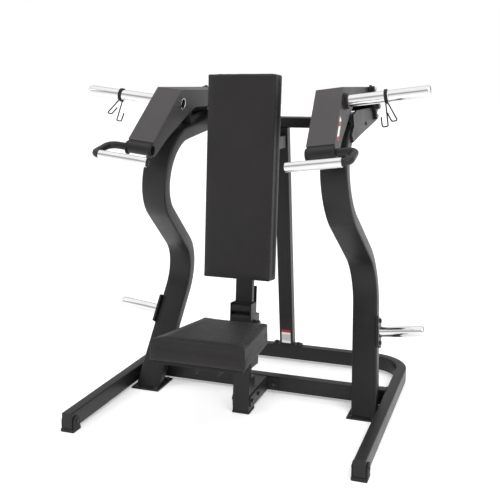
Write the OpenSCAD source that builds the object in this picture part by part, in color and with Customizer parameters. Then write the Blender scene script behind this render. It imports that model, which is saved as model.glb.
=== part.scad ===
// Plate-loaded shoulder press machine: a seated press with two separate lever arms.
// Every node is drawn in one frame: X across, Y front (-) to back (+), Z up, floor at Z = 0.
// Units are millimetres.

/* [Which piece to draw] */
// Name of one node, or all of them

/* [Base frame] */
// Outside width of the base, over the two legs
base_w = 1354; // [1200:1:1500]
// Length of the base, front of the legs to the back of the rear crossbar
base_l = 1240; // [1000:1:1400]
// Width of the base tube
tube_w = 50; // [40:1:80]
// Height of the base tube
tube_h = 75; // [50:1:100]
// Height of the rubber feet under the base tube
foot_h = 15; // [8:1:30]
// Centreline radius of the two rear corners
corner_r = 172; // [120:1:260]
// Front face of the front crossbar, from the front of the legs
cross_y = 727; // [600:1:850]
// Wall thickness of the steel tubes
wall = 3; // [2:0.5:5]

/* [Side posts] */
// Inward lean of the two side posts and of the arm pivots, degrees
lean = 7; // [0:0.5:12]
// Inner face of a side post at the floor, from the middle
post_x = 495; // [400:1:560]
// Width of a side post, seen from the front
post_w = 119; // [80:1:150]
// Depth of a side post
post_d = 60; // [40:1:100]
// Start of the post's centreline at the floor, from the front of the legs
post_y = 612.4; // [500:1:700]
// Backward slope of the lower straight, degrees
post_a1 = 27.9; // [10:0.1:40]
// Length of the lower straight
post_l1 = 515; // [300:1:700]
// Radius of the waist bend
post_r1 = 220; // [120:1:320]
// Forward slope of the middle straight, degrees
post_a2 = 52; // [20:0.1:70]
// Length of the middle straight
post_l2 = 300; // [100:1:500]
// Radius of the bow at the top
post_r2 = 210; // [120:1:320]
// Slope of the top straight from the vertical, degrees
post_a3 = 83; // [60:0.5:90]
// Length of the top straight
post_l3 = 508; // [300:1:700]

/* [Arm pivots] */
// Pivot position from the front of the legs
pivot_y = 1120; // [1000:1:1200]
// Pivot height along the side post
pivot_w = 1412; // [1300:1:1500]
// Radius of the pivot shaft
shaft_r = 15; // [10:0.5:20]

/* [Lever arms] */
// Front top edge of the sloping cover, from the front of the legs
cover_ty = 535; // [400:1:700]
// Height of that edge along the side post
cover_tw = 1495; // [1300:1:1600]
// Front bottom edge of the sloping cover, from the front of the legs
cover_by = 277; // [150:1:450]
// Height of that edge along the side post
cover_bw = 1263; // [1100:1:1400]
// Plate horn position from the front of the legs
horn_y = 552; // [450:1:700]
// Height of the plate horn along the side post
horn_w = 1432; // [1300:1:1500]
// Outer radius of plate horns and storage pegs
horn_r = 25; // [14:0.5:25]
// Outer end of the plate horn, from the post's inner face
horn_end = 478; // [300:1:600]

/* [Handles] */
// Axis of the cross tube, from the front of the legs
bar_y = 285; // [200:1:400]
// Height of the cross tube along the side post
bar_w = 1236; // [1100:1:1400]
// Axis of the grip, from the front of the legs
grip_y = 146; // [80:1:250]
// Height of the grip along the side post
grip_w = 1205; // [1100:1:1400]
// Outer radius of the grip
grip_r = 20; // [14:0.5:22]
// Inner and outer ends of the grip, from the post's inner face
grip_in = -51; // [-120:1:0]
grip_out = 177.5; // [120:0.5:185]
// Radius of the black handle tube
hand_r = 16; // [10:0.5:20]
// Outermost run of the handle tube, from the post's inner face
bend_u = 203; // [200:1:230]
// Centreline radius of the bend beside the cross tube
bar_bend = 50; // [30:1:60]
// Centreline radius of the bend beside the grip
grip_bend = 28; // [20:1:40]

/* [Seat column and pads] */
// Backward lean of the seat column and back pad, degrees
recline = 5; // [0:0.5:15]
// Front face of the seat column at the floor, from the front of the legs
col_y = 444; // [350:1:550]
// Width of the seat column
col_w = 80; // [60:1:100]
// Half width of the back pad
pad_hw = 160; // [120:1:200]
// Lower and upper ends of the back pad along the column
pad_z0 = 650; // [550:1:750]
pad_z1 = 1550; // [1300:1:1650]
// Half width of the seat pad at the front and at the back
seat_hf = 205; // [150:1:260]
seat_hb = 153; // [100:1:220]
// Top of the seat pad along the column
seat_z = 460; // [380:1:560]

/* [Storage pegs] */
// Peg position from the front of the legs
peg_y = 782; // [650:1:900]
// Peg height along the side post
peg_w = 345; // [250:1:600]
// Outer end of the peg, from the post's inner face
peg_end = 339; // [250:1:450]

/* [Hidden] */

y_mid = 585.15;
leg_xo = base_w / 2;
leg_xi = leg_xo - tube_w;
tube_top = foot_h + tube_h;
plate_t = 9;
black = [0.16, 0.16, 0.165];
cover_grey = [0.33, 0.32, 0.325];
vinyl = [0.19, 0.185, 0.19];
chrome = [0.85, 0.86, 0.87];
rubber = [0.06, 0.06, 0.06];
// ends of each stretch of the side post's centreline
p1 = [post_y + post_l1 * sin(post_a1), post_l1 * cos(post_a1)];
c1 = [p1[0] - post_r1 * cos(post_a1), p1[1] + post_r1 * sin(post_a1)];
p2 = [c1[0] + post_r1 * cos(post_a2), c1[1] + post_r1 * sin(post_a2)];
p3 = [p2[0] - post_l2 * sin(post_a2), p2[1] + post_l2 * cos(post_a2)];
c2 = [p3[0] + post_r2 * cos(post_a2), p3[1] + post_r2 * sin(post_a2)];
p4 = [c2[0] - post_r2 * cos(post_a3), c2[1] + post_r2 * sin(post_a3)];
cover_len = norm([cover_ty - cover_by, cover_tw - cover_bw]);
cover_ang = atan2(cover_tw - cover_bw, cover_ty - cover_by);
u0 = 2;
u1 = post_w - 2;
side_t = 6;
// underside of the arm's straight beam
arm_w = 1411;
// how far neighbouring stretches of one bent tube run into each other
lap = 1;
// how much a bend stands proud of the straights that run into it
swell = 0.3;
bend_len = norm([bar_y - grip_y, bar_w - grip_w]);
bend_ang = atan2(bar_w - grip_w, bar_y - grip_y);
// the two spring collars are pushed on to different depths
function clip_u(s) = s < 0 ? 308 : 292;
// a shallow turned ring around the horn, just outside its collar
function ring_u(s) = clip_u(s) + 10;
clip_wire = 2.4;
// how far each clip is turned round its horn, degrees
function clip_turn(s) = s < 0 ? 12 : 40;
lever_z = 437;

// ---- placing ----
module room() {
  translate([0, -y_mid, 0]) children();
}

// s = 1 for the +X side, s = -1 for the -X side; the child is drawn as u, y, w
module side(s) {
  room() mirror([s < 0 ? 1 : 0, 0, 0]) translate([post_x, 0, 0]) rotate([0, -lean, 0]) children();
}

// the child is drawn standing on the seat column's front face
module col() {
  room() translate([0, col_y, 0]) rotate([-recline, 0, 0]) children();
}

// a cylinder along u from a to b, at y and w
module rod(y, w, a, b, r) {
  translate([a, y, w]) rotate([0, 90, 0]) cylinder(r = r, h = b - a, $fn = 64);
}

// a hexagon head along u from a to b
module hex(y, w, a, b, r) {
  translate([a, y, w]) rotate([0, 90, 0]) cylinder(r = r, h = b - a, $fn = 6);
}

// a flat plate in the y-w plane, from u = a to b, with its outline as a child
module plate(a, b) {
  translate([a, 0, 0]) rotate([90, 0, 90]) linear_extrude(height = b - a) children();
}

// ---- base frame ----
module leg(s) {
  room() mirror([s < 0 ? 1 : 0, 0, 0]) {
    corner = leg_xo - tube_w / 2 - corner_r;
    back = base_l - tube_w / 2 - corner_r;
    difference() {
      translate([leg_xi, 0, foot_h]) cube([tube_w, back, tube_h]);
      translate([leg_xi + wall, wall, foot_h + wall]) cube([tube_w - 2 * wall, back, tube_h - 2 * wall]);
    }
    translate([corner, back, foot_h]) rotate_extrude(angle = 90, $fn = 120) difference() {
      translate([corner_r - tube_w / 2, 0]) square([tube_w, tube_h]);
      translate([corner_r - tube_w / 2 + wall, wall]) square([tube_w - 2 * wall, tube_h - 2 * wall]);
    }
  }
}

module bar_x(x0, x1, y, z) {
  difference() {
    translate([x0, y, z]) cube([x1 - x0, tube_w, tube_h]);
    translate([x0 - 1, y + wall, z + wall]) cube([x1 - x0 + 2, tube_w - 2 * wall, tube_h - 2 * wall]);
  }
}

module left_leg() {
  color(black) leg(-1);
}

module right_leg() {
  color(black) leg(1);
}

module rear_crossbar() {
  half = leg_xo - tube_w / 2 - corner_r;
  color(black) room() bar_x(-half, half, base_l - tube_w, foot_h);
}

module front_crossbar() {
  color(black) room() bar_x(-leg_xi, leg_xi, cross_y, foot_h);
}

module foot(s) {
  room() mirror([s < 0 ? 1 : 0, 0, 0]) {
    translate([leg_xi - 8, -4, 0]) cube([tube_w + 16, 62, foot_h]);
    for (x = [leg_xi - 8, leg_xo]) {
      translate([x, 4, 0]) cube([8, 50, 46]);
      translate([x, 29, 46]) rotate([0, 90, 0]) cylinder(r = 25, h = 8, $fn = 64);
    }
  }
}

module left_foot() {
  color(rubber) foot(-1);
}

module right_foot() {
  color(rubber) foot(1);
}

module foot_screws() {
  color(chrome) room() for (s = [-1, 1]) mirror([s < 0 ? 1 : 0, 0, 0]) {
    translate([leg_xi - 12, 29, 46]) rotate([0, 90, 0]) cylinder(r = 7, h = 4, $fn = 32);
    translate([leg_xo + 8, 29, 46]) rotate([0, 90, 0]) cylinder(r = 7, h = 4, $fn = 32);
  }
}

module rear_feet() {
  color(rubber) room() for (s = [-1, 1])
    translate([s * 430 - 40, base_l - tube_w, 0]) cube([80, tube_w, foot_h]);
}

module base_plate(s) {
  room() mirror([s < 0 ? 1 : 0, 0, 0])
    translate([479, 549, 0]) cube([leg_xi - 479, cross_y - 549, plate_t]);
}

module left_base_plate() {
  color(black) base_plate(-1);
}

module right_base_plate() {
  color(black) base_plate(1);
}

module base_bolts() {
  color(chrome) room() for (s = [-1, 1]) mirror([s < 0 ? 1 : 0, 0, 0])
    for (p = [[497, 562], [600, 562], [497, 705], [600, 705]])
      translate([p[0], p[1], plate_t]) {
        cylinder(r = 12, h = 2, $fn = 32);
        cylinder(r = 9.5, h = 9, $fn = 6);
      }
}

// ---- side posts ----
// one straight stretch from p along the direction a, measured from the upright
module stretch(p, a, len, cap) {
  translate([0, p[0], p[1]]) rotate([-a, 0, 0]) difference() {
    translate([0, -post_d / 2, -lap]) cube([post_w, post_d, len + 2 * lap]);
    translate([4, 4 - post_d / 2, -2]) cube([post_w - 8, post_d - 8, cap ? len - 2 : len + 4]);
  }
}

module bend(c, r, from, turn) {
  translate([0, c[0], c[1]]) rotate([90, 0, 90]) rotate([0, 0, from])
    rotate_extrude(angle = turn, $fn = 180) difference() {
      translate([r - post_d / 2 - swell, -swell]) square([post_d + 2 * swell, post_w + 2 * swell]);
      translate([r - post_d / 2 + 4 + swell, 4 + swell]) square([post_d - 8 - 2 * swell, post_w - 8 - 2 * swell]);
    }
}

module post(s) {
  difference() {
    side(s) {
      translate([0, post_y, 0]) rotate([-post_a1, 0, 0]) difference() {
        translate([0, -post_d / 2, -60]) cube([post_w, post_d, post_l1 + 60 + lap]);
        translate([4, 4 - post_d / 2, -61]) cube([post_w - 8, post_d - 8, post_l1 + 64]);
      }
      bend(c1, post_r1, -post_a1, post_a1 + post_a2);
      stretch(p2, -post_a2, post_l2, false);
      bend(c2, post_r2, 180 - post_a3, post_a2 + post_a3);
      stretch(p4, post_a3, post_l3, true);
    }
    translate([-1000, -1000, -200]) cube([2000, 2000, 200 + plate_t]);
  }
}

module left_post() {
  color(black) post(-1);
}

module right_post() {
  color(black) post(1);
}

module strap() {
  translate([pivot_y - 24, 1325]) square([48, pivot_w + 65 - 1325]);
  translate([pivot_y, pivot_w + 65]) circle(r = 24, $fn = 48);
  translate([pivot_y, pivot_w]) circle(r = 42, $fn = 64);
  translate([pivot_y - 28, 1325]) square([68, pivot_w - 1325]);
}

module ears(s) {
  side(s) difference() {
    union() {
      plate(-10, 0) strap();
      plate(post_w + swell, post_w + 10) {
        strap();
        polygon([[575, 1290], [592, 1255], [735, 1275], [1160, 1325], [1160, 1394], [1060, 1392], [720, 1388],
          [640, 1370], [633, 1322]]);
      }
    }
    rod(pivot_y, pivot_w, -20, post_w + 20, shaft_r);
  }
}

module left_ears() {
  color(black) ears(-1);
}

module right_ears() {
  color(black) ears(1);
}

// one flanged bearing housing lying on the face at u = a, thickness along +u
module housing(a, dir) {
  translate([a, pivot_y, pivot_w]) mirror([dir < 0 ? 1 : 0, 0, 0]) rotate([0, 90, 0]) {
    cylinder(r = 46, h = 16, $fn = 64);
    cylinder(r = 33, h = 30, $fn = 64);
    translate([-65, -17, 0]) cube([130, 34, 14]);
    for (d = [-65, 65]) translate([d, 0, 0]) cylinder(r = 17, h = 14, $fn = 48);
  }
}

module bearings(s) {
  side(s) difference() {
    union() {
      housing(post_w + 10, 1);
      housing(-10, -1);
    }
    rod(pivot_y, pivot_w, -60, post_w + 60, shaft_r);
  }
}

module left_bearings() {
  color(black) bearings(-1);
}

module right_bearings() {
  color(black) bearings(1);
}

module bearing_bolts() {
  color(chrome) for (s = [-1, 1]) side(s) for (d = [-65, 65]) {
    hex(pivot_y, pivot_w + d, post_w + 24, post_w + 33, 10.5);
    hex(pivot_y, pivot_w + d, -33, -24, 10.5);
  }
}

module left_shaft() {
  color(chrome) side(-1) rod(pivot_y, pivot_w, -46, post_w + 46, shaft_r);
}

module right_shaft() {
  color(chrome) side(1) rod(pivot_y, pivot_w, -46, post_w + 46, shaft_r);
}

// ---- back of the frame ----
module top_crossbar() {
  color(black) difference() {
    room() translate([0, 1062, 1322]) rotate([7, 0, 0]) difference() {
      cube([900, 50, 50], center = true);
      cube([902, 44, 44], center = true);
    }
    for (s = [-1, 1]) side(s) translate([0, 900, 1000]) cube([400, 300, 500]);
  }
}

module rear_post() {
  color(black) difference() {
    room() translate([0, 1212, 90]) rotate([7.15, 0, 0]) difference() {
      translate([-37.5, -25, -20]) cube([75, 50, 1300]);
      translate([-34.5, -22, -21]) cube([69, 44, 1302]);
    }
    room() translate([-100, 1100, 0]) cube([200, 250, 100]);
    room() translate([0, 1062, 1322]) rotate([7, 0, 0]) translate([-100, -100, -25]) cube([200, 200, 300]);
  }
}

module rear_flange() {
  color(black) room() translate([-80, base_l - 52, 90]) cube([160, 50, 10]);
}

module flange_bolts() {
  color(chrome) room() for (x = [-62, 62]) translate([x, base_l - 27, 100]) {
    cylinder(r = 12, h = 2, $fn = 32);
    cylinder(r = 9.5, h = 9, $fn = 6);
  }
}

module label_plate() {
  color([0.9, 0.9, 0.88]) room() translate([0, 1212, 90]) rotate([7.15, 0, 0])
    translate([-25, -26, 22]) cube([50, 1, 78]);
}

// ---- seat column ----
module column() {
  color(black) difference() {
    col() {
      difference() {
        translate([-col_w / 2, 0, -20]) cube([col_w, 78, 190]);
        translate([3 - col_w / 2, 3, -21]) cube([col_w - 6, 72, 188]);
      }
      difference() {
        translate([-col_w / 2, 0, 170]) cube([col_w, 30, 1330]);
        translate([3 - col_w / 2, 3, 170]) cube([col_w - 6, 24, 1327]);
      }
    }
    room() translate([-200, 300, -100]) cube([400, 400, 110]);
  }
}

module column_foot() {
  color(rubber) room() translate([-42, col_y - 1, 0]) cube([84, 83, 10]);
}

module link_tube() {
  color(black) difference() {
    room() difference() {
      translate([-col_w / 2, 500, foot_h]) cube([col_w, cross_y - 500, tube_h]);
      translate([3 - col_w / 2, 499, foot_h + 3]) cube([col_w - 6, cross_y - 498, tube_h - 6]);
    }
    col() translate([-100, -100, -50]) cube([200, 178, 300]);
  }
}

module gussets() {
  color(black) room() for (s = [-1, 1]) mirror([s < 0 ? 1 : 0, 0, 0]) {
    translate([col_w / 2, 460, 32]) cube([6, cross_y - 460, 50]);
    translate([col_w / 2 + 6, cross_y - 8, 22]) cube([50, 8, 60]);
  }
}

module gusset_bolts() {
  color(chrome) room() for (s = [-1, 1]) mirror([s < 0 ? 1 : 0, 0, 0]) {
    for (y = [480, 570]) translate([col_w / 2 + 6, y, 57]) rotate([0, 90, 0]) cylinder(r = 9.5, h = 8, $fn = 6);
    translate([col_w / 2 + 36, cross_y - 8, 52]) rotate([90, 0, 0]) cylinder(r = 9.5, h = 8, $fn = 6);
  }
}

module back_link() {
  color(black) difference() {
    room() difference() {
      translate([-30, 400, 1195]) cube([60, 900, 60]);
      translate([-27, 399, 1198]) cube([54, 902, 54]);
    }
    col() translate([-100, -600, 800]) cube([200, 630, 800]);
    room() translate([0, 1212, 90]) rotate([7.15, 0, 0]) translate([-100, -25, 0]) cube([200, 600, 1600]);
  }
}

module back_board() {
  color(black) col() {
    translate([12 - pad_hw, -24, pad_z0 + 12]) cube([2 * pad_hw - 24, 15, pad_z1 - pad_z0 - 24]);
    for (z = [pad_z0 + 120, pad_z1 - 260]) translate([-60, -9, z]) cube([120, 9, 90]);
  }
}

// a closed block with rounded upright edges: w across, d deep, from z0 to z1
module back_pad() {
  color(vinyl) col() difference() {
    translate([-pad_hw, -117, pad_z0]) cube([2 * pad_hw, 93, pad_z1 - pad_z0]);
    for (s = [-1, 1]) translate([s * pad_hw, -117, pad_z0 - 1]) rotate([0, 0, 45])
      cube([14, 14, 2 * (pad_z1 - pad_z0) + 4], center = true);
  }
}

module stops() {
  color(rubber) for (s = [-1, 1]) side(s) difference() {
    translate([post_w / 2, 750, arm_w - 120]) cylinder(r = 24, h = 119, $fn = 48);
    translate([0, p4[0], p4[1]]) rotate([-post_a3, 0, 0]) translate([-10, -post_d / 2, -200]) cube([150, 300, 600]);
  }
}

// ---- storage pegs ----
module peg(s) {
  side(s) difference() {
    union() {
      rod(peg_y, peg_w, post_w + 10, peg_end - 12, horn_r);
      translate([peg_end - 12, peg_y, peg_w]) rotate([0, 90, 0]) rotate_extrude($fn = 64)
        intersection() {
          union() {
            square([horn_r - 12, 12]);
            translate([horn_r - 12, 0]) circle(r = 12, $fn = 48);
          }
          square([horn_r, 12]);
        }
    }
    rod(peg_y, peg_w, post_w, peg_end - 20, horn_r - 5);
  }
}

module left_peg() {
  color(chrome) peg(-1);
}

module right_peg() {
  color(chrome) peg(1);
}

module peg_flanges() {
  color(black) for (s = [-1, 1]) side(s)
    translate([post_w, peg_y + 4, peg_w]) rotate([-post_a1, 0, 0]) translate([0, -38, -70]) cube([10, 76, 140]);
}

module peg_bolts() {
  color(chrome) for (s = [-1, 1]) side(s)
    translate([post_w + 10, peg_y + 4, peg_w]) rotate([-post_a1, 0, 0]) for (d = [-53, 53])
      translate([0, 0, d]) rotate([0, 90, 0]) cylinder(r = 10.5, h = 8, $fn = 6);
}

// ---- seat ----
module carriage() {
  color(black) col() {
    difference() {
      translate([-51, -10, 225]) cube([102, 92, 305]);
      translate([-41, -1, 224]) cube([82, 82.1, 307]);
      translate([-60, 31, 470]) cube([120, 60, 61]);
      translate([40, 15, lever_z]) rotate([0, 90, 0]) cylinder(r = 6.05, h = 20, $fn = 32);
    }
    translate([-34, 82, 400]) cube([68, 5, 195]);
    translate([-51, 78, 225]) cube([102, 8, 175]);
    for (s = [-1, 1]) translate([s > 0 ? 45 : -51, -38, 440]) cube([6, 28, 90]);
    difference() {
      translate([51, 15, lever_z]) rotate([0, 90, 0]) cylinder(r = 13, h = 8, $fn = 48);
      translate([50, 15, lever_z]) rotate([0, 90, 0]) cylinder(r = 6.05, h = 10, $fn = 32);
    }
  }
}

module rollers() {
  color(rubber) col() for (z = [462, 506]) translate([-45, -27, z]) rotate([0, 90, 0]) cylinder(r = 16, h = 90, $fn = 48);
}

module seat_frame() {
  color(black) col() {
    for (x = [-51, 45]) translate([x, -430, 300]) cube([6, 420, 50]);
    translate([-140, -420, 350]) cube([280, 40, 5]);
    translate([-120, -190, 350]) cube([240, 40, 5]);
  }
}

module trapezoid(d, y0, y1) {
  polygon([[-seat_hf + d, y0 + d], [seat_hf - d, y0 + d], [seat_hb - d, y1 - d], [d - seat_hb, y1 - d]]);
}

module seat_board() {
  color(black) col() translate([0, 0, 355]) linear_extrude(height = 15) trapezoid(12, -548, -98);
}

module seat_pad() {
  color(vinyl) col() translate([0, 0, 370]) linear_extrude(height = seat_z - 370) trapezoid(0, -548, -98);
}

module adjust_pin() {
  color(chrome) col() translate([0, 15, lever_z]) rotate([0, 90, 0]) {
    translate([0, 0, col_w / 2 + 0.5]) cylinder(r = 6, h = 30, $fn = 32);
    translate([0, 0, col_w / 2 + 22]) cylinder(r = 12, h = 15, $fn = 48);
  }
}

// ---- lever arms ----
// the side plate of an arm: a beam from the pivot, then a leg down to the cross tube
module arm_outline() {
  difference() {
    union() {
      polygon([[cover_ty + 4, cover_tw - 2], [1150, cover_tw - 2], [1158, 1470], [1149, pivot_w],
        [1091, pivot_w], [1075, arm_w], [720, arm_w], [640, 1380], [437, 1280], [320, 1205],
        [264, 1222], [cover_by + 5, cover_bw - 5]]);
      translate([pivot_y, pivot_w]) circle(r = 29, $fn = 64);
      translate([bar_y, bar_w]) circle(r = 32, $fn = 64);
    }
    translate([bar_y, bar_w]) circle(r = 25, $fn = 64);
    translate([horn_y, horn_w]) circle(r = horn_r, $fn = 64);
    translate([pivot_y, pivot_w]) circle(r = shaft_r + 0.05, $fn = 64);
    translate([cover_by, cover_bw]) rotate(cover_ang) translate([-100, -6]) square([600, 300]);
  }
}

module arm(s) {
  side(s) {
    plate(u0, u0 + side_t) arm_outline();
    plate(u1 - side_t, u1) arm_outline();
    translate([u0, cover_ty + 8, cover_tw - 8]) cube([u1 - u0, 1146 - cover_ty - 8, 6]);
    translate([u0 + 1, 722, arm_w]) cube([u1 - u0 - 2, 150, 6]);
    difference() {
      rod(pivot_y, pivot_w, u0 + 1, u1 - 1, 27);
      rod(pivot_y, pivot_w, u0 - 5, u1 + 5, shaft_r + 0.05);
    }
    difference() {
      rod(horn_y, horn_w, u1 - 3, u1 + 18, 33);
      rod(horn_y, horn_w, u1 - 4, u1 + 20, horn_r);
    }
  }
}

module cover(s) {
  side(s) difference() {
    translate([0, cover_by, cover_bw]) rotate([cover_ang, 0, 0]) translate([0, -2, -6]) cube([post_w, cover_len, 6]);
    rod(bar_y, bar_w, -20, 160, 25);
  }
}

module badge(s) {
  side(s) translate([u1, cover_by, cover_bw]) rotate([cover_ang, 0, 0]) translate([0, 60, -44]) cube([0.8, 130, 22]);
}

module elbow(r) {
  rotate_extrude(angle = 90, $fn = 64) translate([r, 0]) circle(r = hand_r + swell, $fn = 64);
}

module handle(s) {
  side(s) {
    difference() {
      rod(bar_y, bar_w, -3, post_w + 3, 25);
      rod(bar_y, bar_w, -4, post_w - 1, 21);
    }
    rod(bar_y, bar_w, post_w + 2, bend_u - bar_bend + lap, hand_r);
    translate([bend_u, bar_y, bar_w]) rotate([180 + bend_ang, 0, 0]) {
      translate([-bar_bend, bar_bend, 0]) rotate([0, 0, -90]) elbow(bar_bend);
      translate([0, bar_bend - lap, 0]) rotate([-90, 0, 0])
        cylinder(r = hand_r, h = bend_len - bar_bend - grip_bend + 2 * lap, $fn = 64);
      translate([-grip_bend, bend_len - grip_bend, 0]) elbow(grip_bend);
    }
    rod(grip_y, grip_w, grip_in + 4, bend_u - grip_bend + lap, hand_r);
  }
}

module grip(s) {
  side(s) difference() {
    rod(grip_y, grip_w, grip_in, grip_out - 3, grip_r);
    rod(grip_y, grip_w, grip_in - 1, grip_out, hand_r);
  }
}

module horn(s) {
  side(s) difference() {
    union() {
      rod(horn_y, horn_w, -8, horn_end - 14, horn_r - 0.4);
      rod(horn_y, horn_w, -8, ring_u(s), horn_r);
      rod(horn_y, horn_w, ring_u(s) + 2, horn_end - 14, horn_r);
      translate([horn_end - 14, horn_y, horn_w]) rotate([0, 90, 0]) rotate_extrude($fn = 64)
        intersection() {
          union() {
            square([horn_r - 14, 14]);
            translate([horn_r - 14, 0]) circle(r = 14, $fn = 48);
          }
          square([horn_r, 14]);
        }
    }
    rod(horn_y, horn_w, -9, horn_end - 22, horn_r - 6);
  }
}

// a straight run of clip wire from a to b, with a round end at b
module wire(a, b) {
  d = b - a;
  translate(a) rotate([0, acos(d[2] / norm(d)), atan2(d[1], d[0])])
    cylinder(r = clip_wire, h = norm(d), $fn = 24);
  translate(b) sphere(r = clip_wire + swell, $fn = 24);
}

// one handle of a spring clip: down from a to b, across, and back up towards a
module wire_handle(a, b, back) {
  c = b + [-24, 0, 0];
  wire(a, b);
  wire(b, c);
  wire(c, c + back * (a - b) / norm(a - b));
}

// spring clip: three turns of round wire and two bent wire handles
module clip(s) {
  coil = horn_r + 3.05;
  side(s) translate([clip_u(s), horn_y, horn_w]) rotate([clip_turn(s), 0, 0]) {
    for (k = [-1, 0, 1]) translate([k * 5, 0, 0]) rotate([0, 90, 0])
      rotate_extrude($fn = 64) translate([coil, 0]) circle(r = 3, $fn = 24);
    wire_handle([5, -20, -20], [40, -73, -74], 31);
    wire_handle([-5, -10, -27], [-5, -67, -105], 37);
  }
}

module left_arm() {
  color(black) arm(-1);
}

module left_cover() {
  color(cover_grey) cover(-1);
}

module left_badge() {
  color([0.8, 0.1, 0.12]) badge(-1);
}

module left_handle() {
  color(black) handle(-1);
}

module left_grip() {
  color(chrome) grip(-1);
}

module left_horn() {
  color(chrome) horn(-1);
}

module left_clip() {
  color(rubber) clip(-1);
}

module right_arm() {
  color(black) arm(1);
}

module right_cover() {
  color(cover_grey) cover(1);
}

module right_badge() {
  color([0.8, 0.1, 0.12]) badge(1);
}

module right_handle() {
  color(black) handle(1);
}

module right_grip() {
  color(chrome) grip(1);
}

module right_horn() {
  color(chrome) horn(1);
}

module right_clip() {
  color(rubber) clip(1);
}

left_leg();
right_leg();
rear_crossbar();
front_crossbar();
left_foot();
right_foot();
foot_screws();
rear_feet();
left_base_plate();
right_base_plate();
base_bolts();
left_post();
right_post();
left_ears();
right_ears();
left_bearings();
right_bearings();
bearing_bolts();
left_shaft();
right_shaft();
top_crossbar();
rear_post();
rear_flange();
flange_bolts();
label_plate();
column();
column_foot();
link_tube();
gussets();
gusset_bolts();
back_link();
back_board();
back_pad();
stops();
left_peg();
right_peg();
peg_flanges();
peg_bolts();
carriage();
rollers();
seat_frame();
seat_board();
seat_pad();
adjust_pin();
left_arm();
left_cover();
left_badge();
left_handle();
left_grip();
left_horn();
left_clip();
right_arm();
right_cover();
right_badge();
right_handle();
right_grip();
right_horn();
right_clip();
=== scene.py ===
"""Plate-loaded shoulder press machine: the visual model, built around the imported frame."""

import math

import bmesh
import bpy
from mathutils import Matrix, Vector, noise


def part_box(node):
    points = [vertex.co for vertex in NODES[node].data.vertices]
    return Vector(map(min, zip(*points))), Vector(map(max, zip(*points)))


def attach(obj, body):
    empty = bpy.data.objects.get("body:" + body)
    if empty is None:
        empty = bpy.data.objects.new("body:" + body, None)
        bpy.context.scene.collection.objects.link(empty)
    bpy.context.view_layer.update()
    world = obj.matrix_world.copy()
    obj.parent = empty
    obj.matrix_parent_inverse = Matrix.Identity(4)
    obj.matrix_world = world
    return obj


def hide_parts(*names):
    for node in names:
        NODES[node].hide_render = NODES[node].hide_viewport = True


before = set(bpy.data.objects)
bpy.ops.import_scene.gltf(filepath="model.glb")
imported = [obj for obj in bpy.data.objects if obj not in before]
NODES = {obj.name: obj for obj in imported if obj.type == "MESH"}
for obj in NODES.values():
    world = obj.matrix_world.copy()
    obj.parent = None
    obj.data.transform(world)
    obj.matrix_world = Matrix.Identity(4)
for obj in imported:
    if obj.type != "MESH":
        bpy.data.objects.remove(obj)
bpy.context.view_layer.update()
scene = bpy.context.scene

SIDES = ((-1, "left"), (1, "right"))
MIDDLE_Y = 0.58515  # from the front of the legs to the middle of the machine
COLUMN_Y = 0.444  # where the seat column's axis meets the floor
POST_X = 0.495  # from the middle to a post's inner face, at the floor
POST_W, POST_D = 0.119, 0.060  # the section of a post
LEAN = math.radians(7)  # how far the posts and arms lean inward
RECLINE = math.radians(5)  # how far the column and the back pad lean back

# in ROOM, y runs from the front of the legs; in COLUMN, z runs up the reclined seat column
ROOM = Matrix.Translation((0, -MIDDLE_Y, 0))
COLUMN = Matrix.Translation((0, COLUMN_Y - MIDDLE_Y, 0)) @ Matrix.Rotation(-RECLINE, 4, "X")


def side(s):
    """The frame of one leaning side: u outward from the post's inner face, y back, w up the lean."""
    flip = Matrix.Diagonal((s, 1, 1, 1))
    lean = Matrix.Rotation(-LEAN, 4, "Y")
    return ROOM @ flip @ Matrix.Translation((POST_X, 0, 0)) @ lean


# ---------------------------------------------------------------- materials
PAINT_WARMTH, VINYL_WARMTH = 1.09, 1.12  # how far the blacks tip towards red
WHITE, RED, PALE = (0.80, 0.80, 0.78), (0.36, 0.012, 0.016), (0.52, 0.53, 0.51)


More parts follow.
